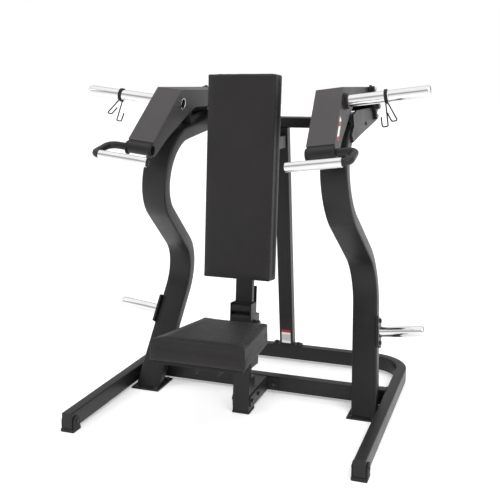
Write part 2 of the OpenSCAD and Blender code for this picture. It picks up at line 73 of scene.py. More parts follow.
class Look:
    """A node material under construction."""

    def __init__(self, name, rough=0.5, metal=0.0, spec=0.5):
        self.mat = bpy.data.materials.new(name)
        self.mat.use_nodes = True
        self.tree = self.mat.node_tree
        self.shader = self.tree.nodes["Principled BSDF"]
        self.shader.inputs["Roughness"].default_value = rough
        self.shader.inputs["Metallic"].default_value = metal
        self.shader.inputs["Specular IOR Level"].default_value = spec
        self.coord = self.add("ShaderNodeTexCoord").outputs["Object"]

    def add(self, kind, **inputs):
        node = self.tree.nodes.new(kind)
        for key, value in inputs.items():
            self.set(node, key, value)
        return node

    def set(self, node, key, value):
        if isinstance(value, bpy.types.NodeSocket):
            self.tree.links.new(value, node.inputs[key])
        else:
            node.inputs[key].default_value = value

    def noise(self, scale, detail=2.0, rough=0.5, coord=None):
        node = self.add("ShaderNodeTexNoise", Vector=coord or self.coord)
        node.inputs["Scale"].default_value = scale
        node.inputs["Detail"].default_value = detail
        node.inputs["Roughness"].default_value = rough
        return node.outputs["Fac"]

    def cells(self, scale, feature):
        node = self.add("ShaderNodeTexVoronoi", Vector=self.coord)
        node.feature = feature
        node.inputs["Scale"].default_value = scale
        return node.outputs["Distance"]

    def math(self, op, a, b=0.0):
        node = self.tree.nodes.new("ShaderNodeMath")
        node.operation = op
        self.set(node, 0, a)
        self.set(node, 1, b)
        return node.outputs[0]

    def ramp(self, fac, stops, mode="LINEAR"):
        node = self.add("ShaderNodeValToRGB", Fac=fac)
        node.color_ramp.interpolation = mode
        while len(node.color_ramp.elements) < len(stops):
            node.color_ramp.elements.new(0.5)
        for element, (at, colour) in zip(node.color_ramp.elements, stops):
            element.position = at
            element.color = (*colour, 1)
        return node.outputs["Color"]

    def spread(self, fac, low, high):
        """Stretches the middle half of a noise to a range."""
        node = self.add("ShaderNodeMapRange", Value=fac)
        node.inputs["From Min"].default_value = 0.25
        node.inputs["From Max"].default_value = 0.75
        node.inputs["To Min"].default_value = low
        node.inputs["To Max"].default_value = high
        return node.outputs["Result"]

    def colour(self, socket):
        self.set(self.shader, "Base Color", socket)

    def rough(self, socket):
        self.set(self.shader, "Roughness", socket)

    def bump(self, height, strength, distance):
        node = self.add("ShaderNodeBump", Height=height)
        node.inputs["Strength"].default_value = strength
        node.inputs["Distance"].default_value = distance
        self.tree.links.new(node.outputs["Normal"], self.shader.inputs["Normal"])

    def stretched(self, scale):
        """The object's coordinates, scaled to draw a noise out along one axis."""
        node = self.add("ShaderNodeMapping", Vector=self.coord)
        node.inputs["Scale"].default_value = scale
        return node.outputs["Vector"]


def grey(v, warm=1.0):
    """A grey; a factor above 1 lifts its red, and its blue by about a third as much."""
    return (v * warm, v, v * (0.65 + 0.35 * warm))


def powder(name, low, high, rough):
    """Powder coat: a fine orange peel, with a slow drift in tone and gloss."""
    k = Look(name, spec=0.28)
    slow = k.noise(7, 4, 0.55)
    peel = k.noise(1100, 3, 0.6)
    tone = k.math("ADD", k.math("MULTIPLY", slow, 0.65), k.math("MULTIPLY", peel, 0.35))
    k.colour(k.ramp(tone, [(0.35, grey(low, PAINT_WARMTH)), (0.65, grey(high, PAINT_WARMTH))]))
    k.rough(k.spread(slow, rough - 0.05, rough + 0.07))
    k.bump(peel, 0.35, 0.0003)
    return k.mat


def vinyl(name):
    """Upholstery vinyl: pebbled grain in small cells, fine creases between them."""
    k = Look(name, spec=0.22)
    warp = k.noise(60, 3, 0.6)
    grain = k.cells(480, "F1")
    crease = k.cells(240, "DISTANCE_TO_EDGE")
    height = k.math("ADD", k.math("MULTIPLY", grain, -0.6), k.math("MULTIPLY", crease, 0.8))
    height = k.math("ADD", height, k.math("MULTIPLY", warp, 0.5))
    slow = k.noise(5, 3, 0.5)
    tone = k.math("ADD", k.math("MULTIPLY", slow, 0.6), k.math("MULTIPLY", grain, 0.4))
    k.colour(k.ramp(tone, [(0.25, grey(0.010, VINYL_WARMTH)), (0.65, grey(0.016, VINYL_WARMTH))]))
    k.rough(k.spread(warp, 0.46, 0.60))
    k.bump(height, 0.16, 0.0005)
    k.shader.inputs["Sheen Weight"].default_value = 0.04
    k.shader.inputs["Sheen Roughness"].default_value = 0.5
    return k.mat


def metal(name, low, high, rough, scratch):
    """Bare or plated metal: a drift in tone, and fine scratches that vary its gloss."""
    k = Look(name, metal=1.0)
    fine = 300
    slow = k.noise(14, 3, 0.5)
    k.colour(k.ramp(slow, [(0.3, grey(low)), (0.7, grey(high))]))
    k.rough(k.spread(k.noise(fine, 4, 0.6), rough, rough + scratch))
    k.bump(k.noise(fine * 2, 2), 0.04, 0.0002)
    return k.mat


def rubber(name):
    """Moulded rubber: a matte, gritty black."""
    k = Look(name, spec=0.3)
    grit = k.noise(700, 3, 0.65)
    k.colour(k.ramp(k.noise(30, 3), [(0.3, grey(0.014)), (0.7, grey(0.022))]))
    k.rough(k.spread(grit, 0.62, 0.80))
    k.bump(grit, 0.4, 0.0004)
    return k.mat


def board(name):
    """Black-stained plywood, with its grain running along the pad."""
    k = Look(name, spec=0.3)
    grain = k.noise(6, 5, 0.6, k.stretched((14, 1, 14)))
    pore = k.noise(60, 3, 0.6, k.stretched((12, 1, 12)))
    k.colour(k.ramp(grain, [(0.3, (0.0060, 0.0055, 0.0055)), (0.7, (0.0110, 0.0100, 0.0100))]))
    k.rough(k.spread(pore, 0.6, 0.8))
    k.bump(pore, 0.3, 0.0004)
    return k.mat


def banded(name, node, stops):
    """A plain printed plate: bands of colour from its bottom to its top, no lettering."""
    low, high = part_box(node)
    k = Look(name, spec=0.4)
    split = k.add("ShaderNodeSeparateXYZ", Vector=k.coord)
    at = k.add("ShaderNodeMapRange", Value=split.outputs["Z"])
    at.inputs["From Min"].default_value = low.z
    at.inputs["From Max"].default_value = high.z
    k.colour(k.ramp(at.outputs["Result"], stops, "CONSTANT"))
    k.rough(k.spread(k.noise(200, 3), 0.30, 0.45))
    k.bump(k.noise(500, 2), 0.08, 0.0002)
    return k.mat


M_BLACK = powder("black_powder_coat", 0.0095, 0.0150, 0.38)
M_CAST = powder("black_casting", 0.0050, 0.0085, 0.40)
# The covers wear the same black powder coat as the frame. Their colour is lightened here to paint in the
# light that falls on their upward-facing slope, so this is painted light.
M_LIT_COVER = powder("cover_coat_painted_light", 0.052, 0.066, 0.55)
M_VINYL = vinyl("black_vinyl")
M_CHROME = metal("bright_chrome", 0.68, 0.74, 0.06, 0.05)
M_ZINC = metal("zinc_plate", 0.50, 0.62, 0.28, 0.15)
M_OXIDE = metal("black_oxide", 0.055, 0.085, 0.36, 0.15)
M_RUBBER = rubber("black_rubber")
M_WIRE = powder("black_spring_wire", 0.004, 0.007, 0.35)
M_BOARD = board("stained_plywood")
M_LABEL = banded("plain_label", "label_plate", [(0.0, WHITE), (0.18, PALE), (0.66, WHITE), (0.80, RED)])
M_STRIPE = banded("plain_stripe", "right_badge", [(0.0, RED), (0.24, WHITE), (0.62, RED), (0.80, WHITE)])


# ---------------------------------------------------------------- mesh helpers
NEEDLE = 1e-5  # the radius that a lathe draws on its axis, before its points are merged


def piece(name, bm, mat, body, at=None, replaces=(), bevel=0.0, sharp=32, segments=2):
    """Puts a bmesh in the scene as a piece that rides on a body."""
    if at is not None:
        bmesh.ops.transform(bm, matrix=at, verts=bm.verts)
    bmesh.ops.recalc_face_normals(bm, faces=bm.faces)
    mesh = bpy.data.meshes.new(name)
    bm.to_mesh(mesh)
    bm.free()
    obj = bpy.data.objects.new(name, mesh)
    scene.collection.objects.link(obj)
    mesh.materials.append(mat)
    mesh.polygons.foreach_set("use_smooth", [True] * len(mesh.polygons))
    if bevel:
        rounding(obj, bevel, segments)
    else:
        mesh.set_sharp_from_angle(angle=math.radians(sharp))
    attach(obj, body)
    if replaces:
        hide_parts(*replaces)
    return obj


def rounding(obj, width, segments=2):
    """Rounds an object's hard edges and keeps its flats flat."""
    bevel = obj.modifiers.new("round", "BEVEL")
    bevel.width = width
    bevel.segments = segments
    bevel.limit_method = "ANGLE"
    bevel.angle_limit = math.radians(38)
    bevel.use_clamp_overlap = False
    obj.modifiers.new("flats", "WEIGHTED_NORMAL")


def merge(bms):
    """One bmesh from several."""
    out = bmesh.new()
    for bm in bms:
        mesh = bpy.data.meshes.new("part")
        bm.to_mesh(mesh)
        bm.free()
        out.from_mesh(mesh)
        bpy.data.meshes.remove(mesh)
    return out


def outline(w, d, r, n):
    """Points round a w by d rectangle with corners of radius r."""
    pts = []
    for cx, cy, start in ((1, 1, 0), (-1, 1, 90), (-1, -1, 180), (1, -1, 270)):
        for i in range(n + 1):
            a = math.radians(start + 90 * i / n)
            pts.append((cx * (w / 2 - r) + r * math.cos(a), cy * (d / 2 - r) + r * math.sin(a)))
    return pts


def skin(rings, cap=True, loop=False):
    """Faces between rings of points, with the two ends closed."""
    bm = bmesh.new()
    rows = [[bm.verts.new(p) for p in ring] for ring in rings]
    pairs = list(zip(rows, rows[1:])) + ([(rows[-1], rows[0])] if loop else [])
    for a, b in pairs:
        for i in range(len(a)):
            j = (i + 1) % len(a)
            bm.faces.new((a[i], a[j], b[j], b[i]))
    if cap and not loop:
        bm.faces.new(rows[0][::-1])
        bm.faces.new(rows[-1])
    return bm


def sweep(path, axis, section):
    """A flat path with a section across it; the section's x lies along axis."""
    axis = Vector(axis).normalized()
    pts = [Vector(p) for p in path]
    rings = []
    for i, p in enumerate(pts):
        run = (pts[min(i + 1, len(pts) - 1)] - pts[max(i - 1, 0)]).normalized()
        across = run.cross(axis).normalized()
        rings.append([p + axis * x + across * y for x, y in section])
    return skin(rings)


def softened(path, r, n):
    """The same path with each inner corner turned into an arc of radius r."""
    pts = [Vector(p) for p in path]
    out = [pts[0]]
    for a, b, c in zip(pts, pts[1:], pts[2:]):
        u, v = (a - b).normalized(), (c - b).normalized()
        half = u.angle(v) / 2
        cut = min(r / math.tan(half), 0.49 * (a - b).length, 0.49 * (c - b).length)
        rad = cut * math.tan(half)
        centre = b + (u + v).normalized() * (rad / math.sin(half))
        p, q = b + u * cut - centre, b + v * cut - centre
        turn = p.angle(q)
        for i in range(n + 1):
            t = i / n
            out.append(centre + (p * math.sin((1 - t) * turn) + q * math.sin(t * turn)) / math.sin(turn))
    return out + [pts[-1]]


def bent(path, radii, n=12):
    """A path whose inner corners each have a radius of their own."""
    out = [Vector(path[0])]
    for a, b, c, r in zip(path, path[1:], path[2:], radii):
        out += softened([a, b, c], r, n)[1:-1]
    return out + [Vector(path[-1])]


def pipe(path, r, n):
    """A round bar with domed ends along a path, its frame carried along so it never twists."""
    pts = [Vector(p) for p in path]
    runs = [(pts[min(i + 1, len(pts) - 1)] - pts[max(i - 1, 0)]).normalized() for i in range(len(pts))]
    side_on = runs[0].orthogonal().normalized()
    along = []
    for i, (p, run) in enumerate(zip(pts, runs)):
        if i:
            side_on = (side_on - run * side_on.dot(run)).normalized()
        along.append((p, run, side_on.copy(), r))
    lids = [(0.6 * math.sin(a), math.cos(a)) for a in (math.radians(x) for x in (20, 45, 70))]
    p, run, across, _ = along[0]
    first = [(p - run * r * up, run, across, r * c) for up, c in lids][::-1]
    p, run, across, _ = along[-1]
    last = [(p + run * r * up, run, across, r * c) for up, c in lids]
    rings = []
    for p, run, across, radius in first + along + last:
        other = run.cross(across)
        rings.append([p + (across * math.cos(a) + other * math.sin(a)) * radius
                      for a in (2 * math.pi * k / n for k in range(n))])
    return skin(rings)


def lathe(profile, n=56, close=True):
    """Turns (radius, along) points about the local X axis; a profile that isn't closed is a tube's."""
    rings = []
    for r, x in profile:
        r = max(r, NEEDLE)
        turn = [2 * math.pi * k / n for k in range(n)]
        rings.append([(x, r * math.cos(a), r * math.sin(a)) for a in turn])
    bm = skin(rings, cap=False, loop=not close)
    if close:
        bmesh.ops.remove_doubles(bm, verts=bm.verts, dist=3 * NEEDLE)
    return bm


def arc(cy, cz, r, a0, a1, n):
    """Points round a centre from one angle to another, in degrees."""
    out = []
    for i in range(n + 1):
        a = math.radians(a0 + (a1 - a0) * i / n)
        out.append((cy + r * math.cos(a), cz + r * math.sin(a)))
    return out


def block(lo, hi):
    """A box between two corners."""
    bm = bmesh.new()
    bmesh.ops.create_cube(bm, size=1)
    lo, hi = Vector(lo), Vector(hi)
    for v in bm.verts:
        v.co = Vector(((lo[i] + hi[i]) / 2 + v.co[i] * (hi[i] - lo[i]) for i in range(3)))
    return bm


def placed(bm, at):
    """The same bmesh, moved by a matrix."""
    bmesh.ops.transform(bm, matrix=at, verts=bm.verts)
    return bm


def bolt(r, h, washer=0.0):
    """A chamfered hex head standing along +X, on a round washer if that has a radius."""
    rings = []
    x0 = 0.002 if washer else 0.0
    if washer:
        base = lathe([(0, 0), (washer, 0), (washer + 0.0003, 0.0006), (washer, 0.0018),
                      (washer - 0.001, x0), (0, x0)], 32)
    for x, k in ((x0, 0.97), (x0 + 0.0008, 1.0), (h - 0.0022, 1.0), (h - 0.0006, 0.93), (h, 0.84)):
        rings.append([(x, r * k * math.cos(a), r * k * math.sin(a))
                      for a in (math.pi * j / 3 for j in range(6))])
    head = skin(rings)
    return merge([base, head]) if washer else head


def weld(path, r, seed, closed=False):
    """A bead of overlapping ripples along a joint, painted over."""
    step, wave, grit = 0.0022, 0.0052, 160
    pts = [Vector(p) for p in path]
    if closed:
        pts.append(pts[0])
    fine = []
    for a, b in zip(pts, pts[1:]):
        count = max(2, int((b - a).length / step))
        fine += [a.lerp(b, i / count) for i in range(count)]
    fine.append(pts[-1])
    bm = pipe(fine, r, 8)
    bm.normal_update()
    shift = Vector((seed, 0, 0))
    for v in bm.verts:
        ripple = 0.22 * math.sin(v.co.length * 2 * math.pi / wave)
        grow = ripple + 0.25 * noise.noise(v.co * grit + shift)
        v.co += v.normal * r * grow if v.normal.length else Vector()
    return bm


# ---------------------------------------------------------------- CAD nodes: materials and edges
LOOKS = {
    M_BLACK: ["rear_crossbar", "front_crossbar", "top_crossbar", "rear_post", "rear_flange", "column",
              "left_base_plate", "right_base_plate", "left_ears", "right_ears", "link_tube", "gussets",
              "back_link", "peg_flanges", "carriage", "seat_frame", "left_arm", "right_arm", "left_leg",
              "right_leg", "left_post", "right_post", "left_handle", "right_handle"],
    M_CAST: ["left_bearings", "right_bearings"],
    M_LIT_COVER: ["left_cover", "right_cover"],
    M_CHROME: ["left_shaft", "right_shaft", "left_peg", "right_peg", "left_grip", "right_grip",
               "left_horn", "right_horn"],
    M_ZINC: ["bearing_bolts"],
    M_OXIDE: ["adjust_pin", "foot_screws", "base_bolts", "flange_bolts", "gusset_bolts", "peg_bolts"],
    M_RUBBER: ["left_foot", "right_foot", "rear_feet", "column_foot", "stops", "rollers"],
    M_WIRE: ["left_clip", "right_clip"],
    M_VINYL: ["back_pad", "seat_pad"],
    M_BOARD: ["back_board", "seat_board"],
    M_LABEL: ["label_plate"],
    M_STRIPE: ["left_badge", "right_badge"],
}
# how far the hard edges of each are rounded
EDGES = {
    0.0030: ["rear_crossbar", "front_crossbar", "rear_post", "top_crossbar", "back_link", "link_tube",
             "column"],
    0.0012: ["left_base_plate", "right_base_plate", "rear_flange", "gussets", "peg_flanges",
             "carriage", "seat_frame", "left_ears", "right_ears", "left_cover", "right_cover",
             "left_arm", "right_arm", "back_board", "seat_board"],
    0.0025: ["left_foot", "right_foot", "rear_feet", "column_foot", "rollers", "stops"],
    0.0020: ["left_bearings", "right_bearings"],
}
for look, names in LOOKS.items():
    for name in names:
        NODES[name].data.materials.clear()
        NODES[name].data.materials.append(look)
for width, names in EDGES.items():
    for name in names:
        join = NODES[name].modifiers.new("join", "WELD")
        join.merge_threshold = 0.00002
        rounding(NODES[name], width)


# ---------------------------------------------------------------- bent frame tubes
FOOT_Y = 0.6124  # of a post's centreline, at the floor
LOW_LEAN, LOW_RUN, LOW_BEND = 27.9, 0.515, 0.220  # the foot leans back, then bends forward
MID_LEAN, MID_RUN, TOP_BEND = 52.0, 0.300, 0.210  # the waist leans forward, then bends back
TOP_LEAN, TOP_RUN = 83.0, 0.508  # the top runs back to the pivot, nearly level
SUNK = 0.06  # how far a foot is drawn below the floor, before it is cut
BASE_TOP = 0.009  # of the base plates, where the feet are cut
LEG_X, LEG_Z = 0.652, 0.0525  # of a leg's centreline
LEG_W, LEG_H = 0.050, 0.075
CORNER_X, CORNER_Y, CORNER_R = 0.480, 1.043, 0.172  # the bend at the rear end of a leg
POST_EDGE, LEG_EDGE = 0.007, 0.006  # the radius of the tubes' edges


def sin_cos(degrees):
    return math.sin(math.radians(degrees)), math.cos(math.radians(degrees))


def post_path():
    """The post's centreline in y and w, from under the floor to the pivot."""
    s1, c1 = sin_cos(LOW_LEAN)
    s2, c2 = sin_cos(MID_LEAN)
    s3, c3 = sin_cos(TOP_LEAN)
    knee = (FOOT_Y + LOW_RUN * s1, LOW_RUN * c1)
    low = (knee[0] - LOW_BEND * c1, knee[1] + LOW_BEND * s1)
    waist = (low[0] + LOW_BEND * c2, low[1] + LOW_BEND * s2)
    neck = (waist[0] - MID_RUN * s2, waist[1] + MID_RUN * c2)
    high = (neck[0] + TOP_BEND * c2, neck[1] + TOP_BEND * s2)
    pts = [(FOOT_Y - SUNK * s1, -SUNK * c1), (FOOT_Y, 0.0)]
    pts += arc(*low, LOW_BEND, -LOW_LEAN, MID_LEAN, 28)
    pts += arc(*high, TOP_BEND, 180 + MID_LEAN, 180 - TOP_LEAN, 44)
    y, w = pts[-1]
    return pts + [(y + TOP_RUN * s3, w + TOP_RUN * c3)]


def post(s):
    """The bent tube of one side, cut level where it stands on its base plate."""
    path = [(POST_W / 2, y, w) for y, w in post_path()]
    bm = placed(sweep(path, (1, 0, 0), outline(POST_W, POST_D, POST_EDGE, 5)), side(s))
    bmesh.ops.recalc_face_normals(bm, faces=bm.faces)
    cut = bmesh.ops.bisect_plane(bm, geom=bm.verts[:] + bm.edges[:] + bm.faces[:],
                                 plane_co=(0, 0, BASE_TOP), plane_no=(0, 0, -1), clear_outer=True)
    rim = [e for e in cut["geom_cut"] if isinstance(e, bmesh.types.BMEdge)]
    bmesh.ops.contextual_create(bm, geom=rim)
    return bm


def leg(s):
    """A straight rail with a bent rear corner."""
    path = [(s * LEG_X, 0.0, LEG_Z), (s * LEG_X, CORNER_Y, LEG_Z)]
    path += [(s * x, y, LEG_Z) for x, y in arc(CORNER_X, CORNER_Y, CORNER_R, 0, 90, 24)]
    return sweep(path, (0, 0, 1), outline(LEG_H, LEG_W, LEG_EDGE, 5))


for s, name in SIDES:
    piece(f"{name}_bent_post", post(s), M_BLACK, "frame", replaces=[f"{name}_post"], sharp=50)
    piece(f"{name}_bent_leg", leg(s), M_BLACK, "frame", at=ROOM, replaces=[f"{name}_leg"], sharp=50)


# ---------------------------------------------------------------- pads
CLOTH_FRAMES = 20
SWELL = 0.003  # the furthest that the cloth may carry a point
GRID = 0.006  # between the lines of a pad's mesh
INSET, FLAT_INSET = 0.001, 0.0005  # how far inside its CAD block a pad starts
PROUD = 0.001  # how far the stretched pads stand out of their CAD blocks
HELD = 0.012  # the depth of a pad's flat side that the cloth holds still


def inflate(obj, pin):
    """A few frames of cloth with air inside; the pinned side stays flat on its board."""
    group = obj.vertex_groups.new(name="held")
    rest = [v.co.copy() for v in obj.data.vertices]
    for v in obj.data.vertices:
        if pin(v.co):
            group.add([v.index], 1.0, "ADD")
    cloth = obj.modifiers.new("cloth", "CLOTH")
    cloth.settings.quality = 6
    cloth.settings.mass = 0.35
    cloth.settings.tension_stiffness = 25
    cloth.settings.compression_stiffness = 25
    cloth.settings.shear_stiffness = 12
    cloth.settings.bending_stiffness = 4
    cloth.settings.use_pressure = True
    cloth.settings.uniform_pressure_force = 4.0
    cloth.settings.effector_weights.gravity = 0
    cloth.settings.vertex_group_mass = "held"
    cloth.collision_settings.use_self_collision = False
    cloth.point_cache.frame_start = 1
    cloth.point_cache.frame_end = CLOTH_FRAMES
    for f in range(1, CLOTH_FRAMES + 1):
        scene.frame_set(f)
    shaped = obj.evaluated_get(bpy.context.evaluated_depsgraph_get()).to_mesh()
    moved = [v.co.copy() for v in shaped.vertices]
    obj.modifiers.remove(cloth)
    obj.vertex_groups.clear()
    for v, a, b in zip(obj.data.vertices, rest, moved):
        step = b - a
        v.co = a + (step if step.length < SWELL else step.normalized() * SWELL)
    scene.frame_set(1)


def stations(half, r):
    """Grid lines from -half to half: close together in the rounded edges, even between them."""
    curve = [r * (1 - i / 4) for i in range(4)]
    count = max(1, round(2 * (half - r) / GRID))
    middle = [-(half - r) + 2 * (half - r) * i / count for i in range(count + 1)]
    return [-half + r - c for c in curve] + middle + [half - r + c for c in curve[::-1]]


def rounded_block(lo, hi, r):
    """A block of even quads whose edges and corners are rounded to a radius."""
    lo, hi = Vector(lo), Vector(hi)
    mid, half = (lo + hi) / 2, (hi - lo) / 2
    lines = [stations(half[i], r) for i in range(3)]
    bm = bmesh.new()
    for axis in range(3):
        i, j = (axis + 1) % 3, (axis + 2) % 3
        for end in (-1, 1):
            rows = []
            for a in lines[i]:
                row = []
                for b in lines[j]:
                    p = Vector()
                    p[axis], p[i], p[j] = end * half[axis], a, b
                    row.append(bm.verts.new(p))
                rows.append(row)
            for m in range(len(rows) - 1):
                for n in range(len(rows[0]) - 1):
                    bm.faces.new((rows[m][n], rows[m][n + 1], rows[m + 1][n + 1], rows[m + 1][n]))
    bmesh.ops.remove_doubles(bm, verts=bm.verts, dist=1e-6)
    for v in bm.verts:
        core = Vector((max(r - half[k], min(half[k] - r, v.co[k])) for k in range(3)))
        v.co = core + (v.co - core).normalized() * r + mid
    return bm


def fill_box(obj, lo, hi):
    """Stretches a mesh to the box that its pad takes up."""
    for axis in range(3):
        values = [v.co[axis] for v in obj.data.vertices]
        least, most = min(values), max(values)
        grow = (hi[axis] - lo[axis]) / (most - least)
        for v in obj.data.vertices:
            v.co[axis] = lo[axis] + (v.co[axis] - least) * grow


def pad(name, bm, body, node, pin, crown, lo, hi):
    """A foam pad under vinyl: an even rounded mesh, inflated, stretched, crowned and smoothed."""
    bmesh.ops.recalc_face_normals(bm, faces=bm.faces)
    mesh = bpy.data.meshes.new(name)
    bm.to_mesh(mesh)
    bm.free()
    obj = bpy.data.objects.new(name, mesh)
    scene.collection.objects.link(obj)
    bpy.context.view_layer.objects.active = obj
    obj.select_set(True)
    inflate(obj, pin)
    fill_box(obj, lo, hi)
    for v in obj.data.vertices:
        v.co += crown(v.co)
    fine = obj.modifiers.new("fine", "SUBSURF")
    fine.levels = fine.render_levels = 1
    bpy.ops.object.modifier_apply(modifier="fine")
    obj.select_set(False)
    obj.data.transform(COLUMN)
    obj.data.polygons.foreach_set("use_smooth", [True] * len(obj.data.polygons))
    obj.data.materials.append(M_VINYL)
    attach(obj, body)
    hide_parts(node)


def ease(t):
    """A smooth step from 0 to 1."""
    t = min(1.0, max(0.0, t))
    return t * t * (3 - 2 * t)


# the back pad's CAD block, in COLUMN; its front faces -y
BACK_HALF, BACK_LOW, BACK_HIGH, BACK_FRONT, BACK_REAR = 0.160, 0.650, 1.550, -0.117, -0.024
BACK_EDGE = 0.009
END_PROUD = 0.002  # what the pad stands out at its top and bottom ends


def back_crown(p):
    """The border of the back pad's front falls back a little from its flat middle."""
    fall, border, front = 0.0022, 0.020, 0.03
    if p.y > BACK_FRONT + front:
        return Vector()
    edge = min(BACK_HALF - abs(p.x), p.z - BACK_LOW, BACK_HIGH - p.z)
    return Vector((0, fall * (1 - ease(edge / border)), 0))


bm = rounded_block((-BACK_HALF + INSET, BACK_FRONT + INSET, BACK_LOW + INSET),
                   (BACK_HALF - INSET, BACK_REAR - FLAT_INSET, BACK_HIGH - INSET), BACK_EDGE)
pad("back_cushion", bm, "frame", "back_pad", lambda p: p.y > BACK_REAR - HELD, back_crown,
    (-BACK_HALF - PROUD, BACK_FRONT - PROUD, BACK_LOW - END_PROUD),
    (BACK_HALF + PROUD, BACK_REAR, BACK_HIGH + END_PROUD))

# the seat pad's CAD block, in COLUMN; it is wider at its front than at its back
FRONT_HALF, REAR_HALF = 0.205, 0.153
SEAT_FRONT, SEAT_REAR, SEAT_LOW, SEAT_HIGH = -0.548, -0.098, 0.370, 0.460
SEAT_EDGE = 0.008
REAR_PROUD = 0.003  # what the pad stands out at its rear


def seat_half(y):
    """Half the seat's width at a distance from front to back."""
    return FRONT_HALF + (REAR_HALF - FRONT_HALF) * (y - SEAT_FRONT) / (SEAT_REAR - SEAT_FRONT)


def seat_crown(p):
    """A flat centre a little proud of a soft border, on a pad that thickens towards the back."""
    rise, thicker, border, slope = 0.0035, 0.008, 0.022, 0.030
    up = (p.z - SEAT_LOW) / (SEAT_HIGH - SEAT_LOW)
    back = (p.y - SEAT_FRONT) / (SEAT_REAR - SEAT_FRONT)
    edge = min(seat_half(p.y) - abs(p.x), p.y - SEAT_FRONT, SEAT_REAR - p.y)
    centre = ease((edge - border) / slope) if up > 0.7 else 0.0
    return Vector((0, 0, rise * centre + thicker * back * up))


bm = rounded_block((-FRONT_HALF + INSET, SEAT_FRONT + INSET, SEAT_LOW + FLAT_INSET),
                   (FRONT_HALF - INSET, SEAT_REAR - INSET, SEAT_HIGH - INSET), SEAT_EDGE)
for v in bm.verts:
    v.co.x *= seat_half(v.co.y) / FRONT_HALF
pad("seat_cushion", bm, "seat", "seat_pad", lambda p: p.z < SEAT_LOW + HELD, seat_crown,
    (-FRONT_HALF - PROUD, SEAT_FRONT - PROUD, SEAT_LOW),
    (FRONT_HALF + PROUD, SEAT_REAR + REAR_PROUD, SEAT_HIGH))

# ---------------------------------------------------------------- levers and pegs
# the axes of the round parts that lie along u, in y and w
BAR = (0.285, 1.236)
GRIP = (0.146, 1.205)
HORN = (0.552, 1.432)
PEG = (0.782, 0.345)
HANDLE_U = 0.203  # where the handle's rod turns forward
PLATE_R = 0.025  # of the horns and pegs, which carry weight plates
CLIP_U = {"left": 0.308, "right": 0.292}  # the collars' places on their horns
CLIP_TURN = {"left": 12, "right": 40}  # and how far they are turned, in degrees


def on_axis(axis, u=0.0):
    return Matrix.Translation((u, *axis))


def round_end(x, bulge):
    """The rounded outer end of a horn or peg, from x outward."""
    turn = [math.pi / 2 * i / 8 for i in range(9)]
    end = [(PLATE_R - bulge * (1 - math.cos(a)), x + bulge * math.sin(a)) for a in turn]
    return end + [(0, x + bulge)]


def handle():
    """A cross tube, open at its inner end, and a bent rod that carries the grip."""
    hole = [(0, 0.040), (0.0210, 0.040), (0.0210, -0.0025), (0.0215, -0.003)]
    wall = [(0.0235, -0.003), (0.0250, -0.0015), (0.0250, 0.1205), (0.0235, 0.122), (0, 0.122)]
    path = [(0.1215, *BAR), (HANDLE_U, *BAR), (HANDLE_U, *GRIP), (-0.047, *GRIP)]
    rod = pipe(bent(path, (0.050, 0.028)), 0.016, 28)
    return merge([placed(lathe(hole + wall), on_axis(BAR)), rod])


def grip():
    """A chrome sleeve with rolled lips."""
    inner, lip, outer, start, end = 0.0162, 0.0185, 0.0200, -0.051, 0.1745
    sleeve = [(inner, start), (lip, start), (outer, start + 0.0015), (outer, end - 0.0015), (lip, end),
              (inner, end)]
    return placed(lathe(sleeve, close=False), on_axis(GRIP))


def horn(name):
    """A thick-walled chrome tube through the arm, with a fine groove near its collar."""
    groove = CLIP_U[name] + 0.010
    tube = [(0, 0.20), (0.0215, 0.20), (0.0215, -0.0070), (0.0222, -0.008), (0.0240, -0.008),
            (PLATE_R, -0.0070), (PLATE_R, groove - 0.0002), (0.0247, groove + 0.0004),
            (0.0247, groove + 0.0016), (PLATE_R, groove + 0.0022)]
    return placed(lathe(tube + round_end(0.464, 0.014), 64), on_axis(HORN))


def peg():
    """A storage peg, from its plate outward."""
    return placed(lathe([(0, 0.1292), (PLATE_R, 0.1292)] + round_end(0.327, 0.012), 64), on_axis(PEG))


def collar_wire():
    """The centreline of a spring collar: handle, three turns, handle."""
    r, turns, n = 0.0283, 3, 26
    start, end = math.radians(-110), math.radians(-135) + turns * 2 * math.pi
    first = [(-0.029, -0.043, -0.073), (-0.031, -0.045, -0.075), (-0.029, -0.067, -0.105),
             (-0.005, -0.067, -0.105)]
    last = [(0.040, -0.073, -0.074), (0.016, -0.073, -0.074), (0.001, -0.051, -0.051),
            (0.003, -0.049, -0.049)]
    coil = []
    for i in range(turns * n + 1):
        t = i / (turns * n)
        a = start + (end - start) * t
        coil.append((-0.0058 + 0.0116 * t, r * math.cos(a), r * math.sin(a)))
    return softened(first + coil + last, 0.005, 3)


def collar(name):
    """A spring collar of one length of wire, in its place on the horn."""
    turn = Matrix.Rotation(math.radians(CLIP_TURN[name]), 4, "X")
    return placed(pipe(collar_wire(), 0.0030, 12), on_axis(HORN, CLIP_U[name]) @ turn)


def horn_plug():
    """A black cup in the open inner end of the horn."""
    cup = [(0, 0.027), (0.0205, 0.027), (0.0205, -0.0062), (0.0211, -0.0066), (0.0216, -0.0060),
           (0.0216, 0.030), (0, 0.030)]
    return placed(lathe(cup, 40), on_axis(HORN))


def grip_plug():
    """A black domed plug in the inner end of the grip."""
    dome = [(0, -0.0505), (0.010, -0.0502), (0.0150, -0.0485), (0.0163, -0.0460), (0.0163, -0.044),
            (0, -0.044)]
    return placed(lathe(dome, 32), on_axis(GRIP))


